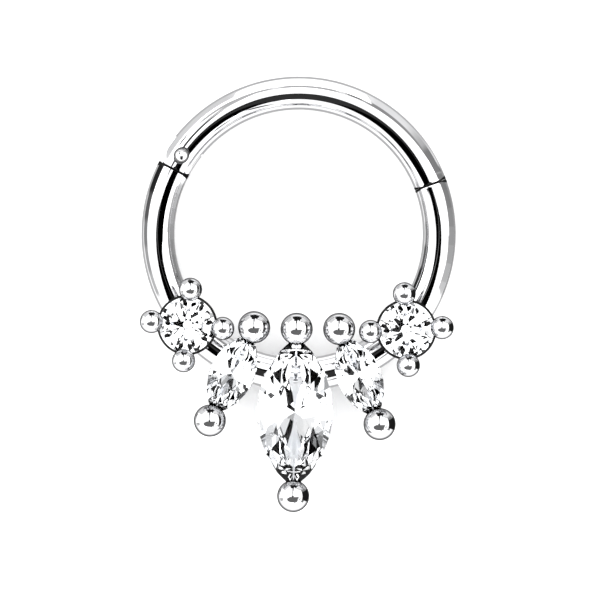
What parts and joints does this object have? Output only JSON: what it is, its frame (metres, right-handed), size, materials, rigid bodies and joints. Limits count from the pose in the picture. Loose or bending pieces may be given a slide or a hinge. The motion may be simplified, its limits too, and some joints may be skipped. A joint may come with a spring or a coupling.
{
  "type": "septum ring",
  "caption": "Round steel wire ring with a hinged segment on a pin and a fan of clear marquise and round stones held by bead-tipped prongs.",
  "frame": {"origin": "centre of the closed ring, in the plane on which the wire's back rests", "axes": "+Z out of the stones' tables towards the viewer, +Y from the centre to the hinged segment's side, away from the fan of stones, +X to the clasp's side"},
  "size_m": [0.0114, 0.0157, 0.003],
  "materials": {
    "polished_steel": "mirror polished",
    "pin_steel": "polished, domed head",
    "clear_stone": "clear, cut and polished facets"
  },
  "bodies": {
    "ring": {"fixed_arc": "polished_steel", "stone_centre": "clear_stone", "stone_side_left": "clear_stone", "stone_side_right": "clear_stone", "stone_round_left": "clear_stone", "stone_round_right": "clear_stone"},
    "segment": {"hinged_segment": "polished_steel", "hinge_pin": "pin_steel"}
  },
  "joints": [
    {"name": "segment_hinge", "type": "hinge", "parent": "ring", "child": "segment", "pos_m": [-0.0043, 0.00274, 0.0006], "axis": [0, 0, 1], "range_deg": [0, 80]}
  ]
}
